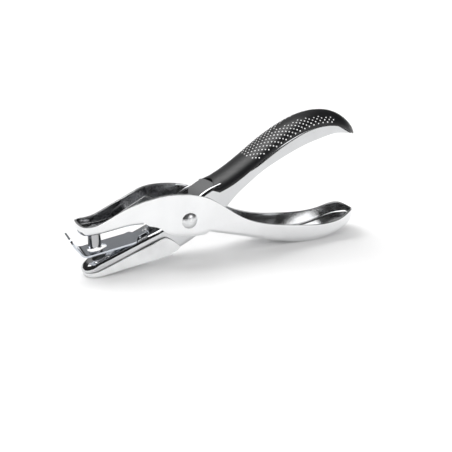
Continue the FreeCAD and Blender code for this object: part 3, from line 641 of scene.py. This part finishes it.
points, faces = [], []
turns = np.radians(np.linspace(0, 180, 721))
x, row = DOTS_START, 0
while x < DOTS_END:
    _, half, rise = section(x)
    arc = np.r_[0, np.cumsum(np.hypot(np.diff(half * np.cos(turns)), np.diff(rise * np.sin(turns))))]
    arc -= arc[-1] / 2
    count = int(arc[-1] / DOT_ROW)
    for k in range(-count, count + 1):
        turn = np.interp((k + 0.5 * (row % 2)) * DOT_ROW, arc, turns)
        near = math.degrees(min(turn, math.pi - turn))
        if limit(x, DOTS_LOW) <= near <= limit(x, DOTS_HIGH):
            add_dot(points, faces, grip_point(x, turn), grip_normal(x, turn))
    x += DOT_STEP
    row += 1
dots = new_object("grip_dots", points, faces, 60.0)
finish_shading(dots)
dress(dots, DOT, "lower_lever")

# ---------------------------------------------------------------- stripper: plate and tang as one sheet
PLATE_HALF, TANG_HALF, LIP = 6.0, 2.6, -53.4
TANG_TAIL = jaw_point(-16.0, -PLATE)
profile = chain([TANG_TAIL, jaw_point(-24.6, -PLATE)],
                [jaw_point(-24.6, -PLATE), jaw_point(-26.2, -PLATE), (-26.9, -7.31), (-28.4, -7.5)],
                [(-28.4, -7.5), (-46.2, -9.73)],
                [(-46.2, -9.73), (-47.8, -9.2), (-49.0, -7.7), (-51.3, -4.3), (LIP + 0.72, -1.3)], count=60)
lengths = np.r_[0.0, np.cumsum(np.linalg.norm(np.diff(profile, axis=0), axis=1))]
keep = np.r_[True, np.diff(lengths) > 1e-9]
profile, lengths = profile[keep], lengths[keep]
SLOT_X, SLOT_HALF, SLOT_RADIUS = -40.6, 1.0, 3.35
RIM_WIDTH, RIM_RISE, CORNER = 0.3, 0.07, 2.2
SHEET_PLAN = [(-53.0, PLATE_HALF), (-24.6, PLATE_HALF), (-24.0, PLATE_HALF - 0.35),
              (-23.6, PLATE_HALF - 1.2), (-22.6, TANG_HALF + 0.35), (-21.6, TANG_HALF),
              (-17.6, TANG_HALF), (-16.6, TANG_HALF - 0.45), (-16.0, TANG_HALF - 1.5),
              (-15.0, TANG_HALF - 1.5)]
SHEET_ROWS, SHEET_COLUMNS = 121, 44
points, faces = [], []
for index, s in enumerate(np.linspace(0.0, lengths[-1], SHEET_ROWS)):
    x, z = np.interp(s, lengths, profile[:, 0]), np.interp(s, lengths, profile[:, 1])
    to_tip = lengths[-1] - s
    half = limit(x, SHEET_PLAN)
    if to_tip < CORNER:
        half -= CORNER - math.sqrt(max(CORNER ** 2 - (CORNER - to_tip) ** 2, 0.0))
    for k in range(SHEET_COLUMNS + 1):
        y = half * (2 * k / SHEET_COLUMNS - 1)
        gap = math.hypot(max(abs(x - SLOT_X) - SLOT_HALF, 0.0), y) - SLOT_RADIUS
        share = min(max(gap / RIM_WIDTH, 0.0), 1.0)
        lift = RIM_RISE * 0.5 * (1 + math.cos(math.pi * share))
        points.append((x, y, z + lift))
    if index:
        faces += strips((index - 1) * (SHEET_COLUMNS + 1), index * (SHEET_COLUMNS + 1), SHEET_COLUMNS)
stripper = new_object("stripper_sheet", points, faces)
orient(stripper, (-30, 0, -8), (0, 0, 1))
thicken(stripper, PLATE)
rivet_x, rivet_z = jaw_point(-18.3)
cut(stripper, stadium("slot_cut", (SLOT_X, 0, -9.5), SLOT_HALF, SLOT_RADIUS, 8),
    cylinder("stem_cut", (rivet_x, 0, rivet_z), SQUARE, 1.0, 6, FEW))
soften(stripper, 0.14)
dress(stripper, STRIPPER, replaces=["stripper_plate", "stripper_tang"])
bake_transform(stripper)

# ---------------------------------------------------------------- chip tray
TRAY_NOSE, TRAY_HALF = -47.8, 8.3
TRAY_WEB_END = -8.6
TRAY_TOP = [(TRAY_NOSE, -18.85), (-42.6, -18.2), (-12.9, -7.0)]
TRAY_EAR = [(-12.9, -7.0), (-11.3, -6.75), (-9.8, -7.3), (-4.9, -11.6)]
TRAY_BEND = 1.5
front = [(TRAY_NOSE, 0), (TRAY_NOSE + 0.7, 3.1), (-45.4, 5.2), (-41.6, 6.5), (-30.0, 7.15),
         (-17.0, TRAY_HALF)]
plan = chain(front, [(-17.0, TRAY_HALF), (-4.9, TRAY_HALF)])
columns, inward = plan_columns(plan, [TRAY_WEB_END], coarse=0.9, close_tail=False)
tray_web = height([(TRAY_NOSE, -21.0 + 0.25), (-46.6, -21.0 + 0.1), (-42.5, -21.0)],
                  [(-42.5, -21.0), (TRAY_WEB_END, -15.7), (-4.8, -15.1)])
tray_foot = height([(TRAY_WEB_END, -15.7 + TRAY_BEND), (-6.2, -13.5), (-4.9, -12.4)])
tray = channel("chip_tray_tub", columns, inward, height(TRAY_TOP[:2], TRAY_TOP[1:], TRAY_EAR), tray_web,
               lambda x: TRAY_BEND, 1, lambda x: x <= TRAY_WEB_END + 1e-3, tray_foot)
orient(tray, (-20, -8, -13), (0, -1, 0))
thicken(tray, PLATE)
BULKHEAD_HALF, BOSS_MIDDLE, BOSS_LENGTH = 5.3, 6.6, 2.2
bulkhead = block("tray_bulkhead", (-14.5, -BULKHEAD_HALF, -16.3), (-13.7, BULKHEAD_HALF, -8.9))
bosses = [cylinder(name, (TRAY_HINGE[0], y, TRAY_HINGE[2]), ACROSS, BOSS_RADIUS, BOSS_LENGTH, SOME)
          for name, y in (("near_boss", -BOSS_MIDDLE), ("far_boss", BOSS_MIDDLE))]
join(tray, bulkhead, *bosses)
soften(tray, 0.2)
dress(tray, TRAY, "tray", ["chip_tray"])

# ---------------------------------------------------------------- pieces that keep their solid shape
for node, material in (("pivot_rivet", RIVET), ("pivot_sleeve", TURNED), ("punch_pin", PIN),
                       ("die_ring", PIN), ("stripper_rivet", RIVET), ("return_spring", WIRE)):
    repaint(node, material)

# ---------------------------------------------------------------- floor, world, lights and camera
floor_mesh = bpy.data.meshes.new("floor")
floor_mesh.from_pydata([(-4, -4, 0), (4, -4, 0), (4, 6, 0), (-4, 6, 0)], [], [(0, 1, 2, 3)])
floor = bpy.data.objects.new("floor", floor_mesh)
scene.collection.objects.link(floor)
paper, tree, shader = nodes_of("paper_white")
shader.inputs["Base Color"].default_value = (0.93, 0.93, 0.93, 1.0)
shader.inputs["Roughness"].default_value = 0.9
shader.inputs["Specular IOR Level"].default_value = 0.0
floor.data.materials.append(paper)

# The world is what the mirror finish reflects: mostly dark, with a few bright patches.
world = bpy.data.worlds.new("studio")
scene.world = world
scene.view_settings.view_transform = "Standard"
world.use_nodes = True
tree = world.node_tree
background = tree.nodes["Background"]
coordinates = tree.nodes.new("ShaderNodeTexCoord")
split = tree.nodes.new("ShaderNodeSeparateXYZ")
link(tree, coordinates.outputs["Generated"], split.inputs["Vector"])


def calculate(operation, first, second):
    """A Math node; each input is a socket or a number."""
    node = tree.nodes.new("ShaderNodeMath")
    node.operation = operation
    for value, socket in zip((first, second), node.inputs):
        if isinstance(value, (int, float)):
            socket.default_value = value
        else:
            link(tree, value, socket)
    return node.outputs[0]


def facing(direction, low, high):
    """1 where the sky lies towards a direction, 0 away from it."""
    way = Vector(direction).normalized()
    total = calculate("ADD", calculate("MULTIPLY", split.outputs["X"], way.x),
                      calculate("MULTIPLY", split.outputs["Y"], way.y))
    total = calculate("ADD", total, calculate("MULTIPLY", split.outputs["Z"], way.z))
    node = tree.nodes.new("ShaderNodeMapRange")
    node.interpolation_type = "SMOOTHSTEP"
    node.inputs["From Min"].default_value = low
    node.inputs["From Max"].default_value = high
    link(tree, total, node.inputs["Value"])
    return node.outputs["Result"]


back_wall = calculate("MULTIPLY", facing((0.416, 0.909, 0.0), -0.10, 0.15),
                      facing((0, 0, -1), -0.10, -0.02))
softbox = facing((0.38, -0.84, 0.38), 0.955, 0.965)
overhead = facing((-0.28, 0.42, 0.86), 0.90, 0.975)
far_glow = facing((0.10, 0.84, 0.50), 0.90, 0.985)
DARK_SKY = 0.03
light_level = back_wall
for patch, strength in ((softbox, 1.8), (overhead, 4.0), (far_glow, 0.28)):
    light_level = calculate("ADD", light_level, calculate("MULTIPLY", patch, strength))
light_level = calculate("ADD", light_level, DARK_SKY)
# Where the camera looks past the floor, it sees a plain pale backdrop.
backdrop = tree.nodes.new("ShaderNodeLightPath").outputs["Is Camera Ray"]
link(tree, calculate("MAXIMUM", light_level, backdrop), background.inputs["Strength"])
background.inputs["Color"].default_value = grey(1.0)


def sun_light(name, direction, strength, spread):
    """Soft daylight from a direction, kept out of the mirror finish."""
    light = bpy.data.lights.new(name, "SUN")
    light.energy = strength
    light.angle = math.radians(spread)
    lamp = bpy.data.objects.new(name, light)
    scene.collection.objects.link(lamp)
    lamp.rotation_euler = Vector(direction).to_track_quat("Z", "Y").to_euler()
    lamp.visible_glossy = False


sun_light("soft_top", (0.0, 0.75, 0.85), 0.7, 80.0)
sun_light("dome", (0.0, 0.0, 1.0), 1.3, 180.0)
sun_light("soft_front", (-0.2, -0.9, 0.7), 0.8, 90.0)

IMAGE_WIDTH, FOCAL_PIXELS, SENSOR = 452.0, 800.0, 36.0
camera_data = bpy.data.cameras.new("camera")
camera = bpy.data.objects.new("camera", camera_data)
scene.collection.objects.link(camera)
scene.camera = camera
LOOK = Vector((0.3843, 0.8394, -0.3843)).normalized()
camera.location = PIVOT + Vector((-122.45, -314.90, 134.59)) * MM
camera.rotation_euler = LOOK.to_track_quat("-Z", "Y").to_euler()
camera_data.sensor_width = SENSOR
camera_data.lens = SENSOR * FOCAL_PIXELS / IMAGE_WIDTH
camera_data.clip_start = 0.01
